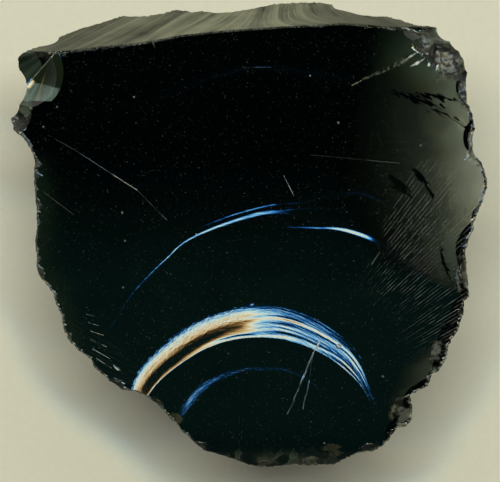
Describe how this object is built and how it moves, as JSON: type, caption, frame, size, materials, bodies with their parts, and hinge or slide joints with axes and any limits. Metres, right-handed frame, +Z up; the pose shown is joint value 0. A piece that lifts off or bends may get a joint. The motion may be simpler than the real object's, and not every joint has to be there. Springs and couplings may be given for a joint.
{
  "type": "obsidian chunk",
  "caption": "Rough chunk of black volcanic glass with a broad shell-like fracture face, a stepped bulb of percussion, a steep striking platform and a thin translucent edge.",
  "frame": {"origin": "middle of the footprint, on the flat fracture that the stone lies on", "axes": "+Z up, out of the fracture face; +Y across the face towards the striking platform; +X across the face towards the thin translucent edge"},
  "size_m": [0.0908, 0.0891, 0.0315],
  "materials": {
    "obsidian": "gloss"
  },
  "bodies": {
    "root": {"obsidian_chunk": "obsidian"}
  },
  "joints": []
}
